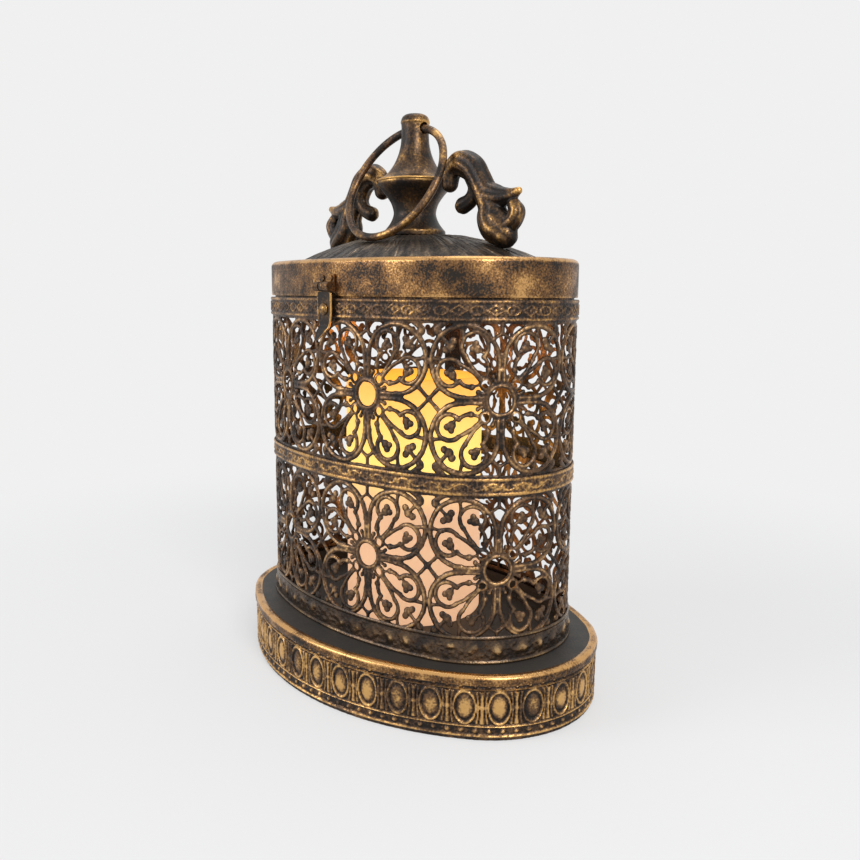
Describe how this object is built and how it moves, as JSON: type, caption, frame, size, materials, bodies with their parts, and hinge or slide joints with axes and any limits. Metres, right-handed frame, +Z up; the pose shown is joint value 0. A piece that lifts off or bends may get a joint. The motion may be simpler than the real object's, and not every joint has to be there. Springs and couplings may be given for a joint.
{
  "type": "metal lantern",
  "caption": "Oval antique bronze lantern with openwork walls, hinged domed lid with a hasp, turned finial, scroll ornaments, a carrying ring and a battery candle inside.",
  "frame": {"origin": "centre of the underside, on the surface it stands on", "axes": "+Z up through the finial, +X along the oval's length, front with the hasp at -Y"},
  "size_m": [0.2306, 0.156, 0.3038],
  "materials": {
    "antique_bronze": "antique bronze, gold rubbed on the high edges",
    "gilded_rim": "rubbed gold, mottled",
    "dark_plate": "dark matte bronze",
    "cast_bronze": "dark cast bronze, gold rubbed on the high edges",
    "steel_fixing": "plain zinc",
    "candle_wax": "translucent wax, lit from inside",
    "ivory_plastic": "moulded",
    "cell_jacket": "plain sleeve",
    "circuit_board": "solder mask",
    "led_lens": "clear warm lens",
    "black_plastic": "moulded"
  },
  "bodies": {
    "lantern": {"base_skirt": "antique_bronze", "base_top_plate": "dark_plate", "base_rim": "gilded_rim", "base_bottom_plate": "dark_plate", "foot_ring": "dark_plate", "foot_screws": "steel_fixing", "bottom_band": "antique_bronze", "lower_panel": "antique_bronze", "middle_band": "antique_bronze", "upper_panel": "antique_bronze", "top_band": "antique_bronze", "seam_strips": "antique_bronze", "hinge_body_leaf": "dark_plate", "hinge_pin": "gilded_rim", "hinge_body_rivets": "gilded_rim", "latch_keeper": "gilded_rim", "candle_wax": "candle_wax", "candle_housing": "ivory_plastic", "battery_cells": "cell_jacket", "battery_door": "ivory_plastic", "led_board": "circuit_board", "led": "led_lens"},
    "switch": {"candle_switch": "black_plastic"},
    "lid": {"lid_rim": "gilded_rim", "lid_top": "dark_plate", "finial_spool": "cast_bronze", "finial_bell": "cast_bronze", "finial_rod": "steel_fixing", "finial_nut": "steel_fixing", "scroll_left": "cast_bronze", "scroll_right": "cast_bronze", "scroll_screws": "steel_fixing", "hinge_lid_leaf": "dark_plate", "hinge_lid_rivets": "gilded_rim", "latch_bracket": "dark_plate", "latch_pin": "gilded_rim", "latch_rivets": "gilded_rim"},
    "hasp": {"hasp": "dark_plate", "hasp_knob": "gilded_rim"},
    "ring": {"ring_handle": "gilded_rim"}
  },
  "joints": [
    {"name": "lid_hinge", "type": "hinge", "parent": "lantern", "child": "lid", "pos_m": [0, 0.0631, 0.20765], "axis": [-1, 0, 0], "range_deg": [0, 100]},
    {"name": "hasp_swing", "type": "hinge", "parent": "lid", "child": "hasp", "pos_m": [0, -0.0629, 0.2129], "axis": [-1, 0, 0], "range_deg": [0, 140]},
    {"name": "ring_swing", "type": "hinge", "parent": "lid", "child": "ring", "pos_m": [0, 0, 0.2959], "axis": [-1, 0, 0], "range_deg": [0, 303]},
    {"name": "switch_slide", "type": "slide", "parent": "lantern", "child": "switch", "axis": [0, 1, 0], "range_m": [0, 0.004]}
  ]
}
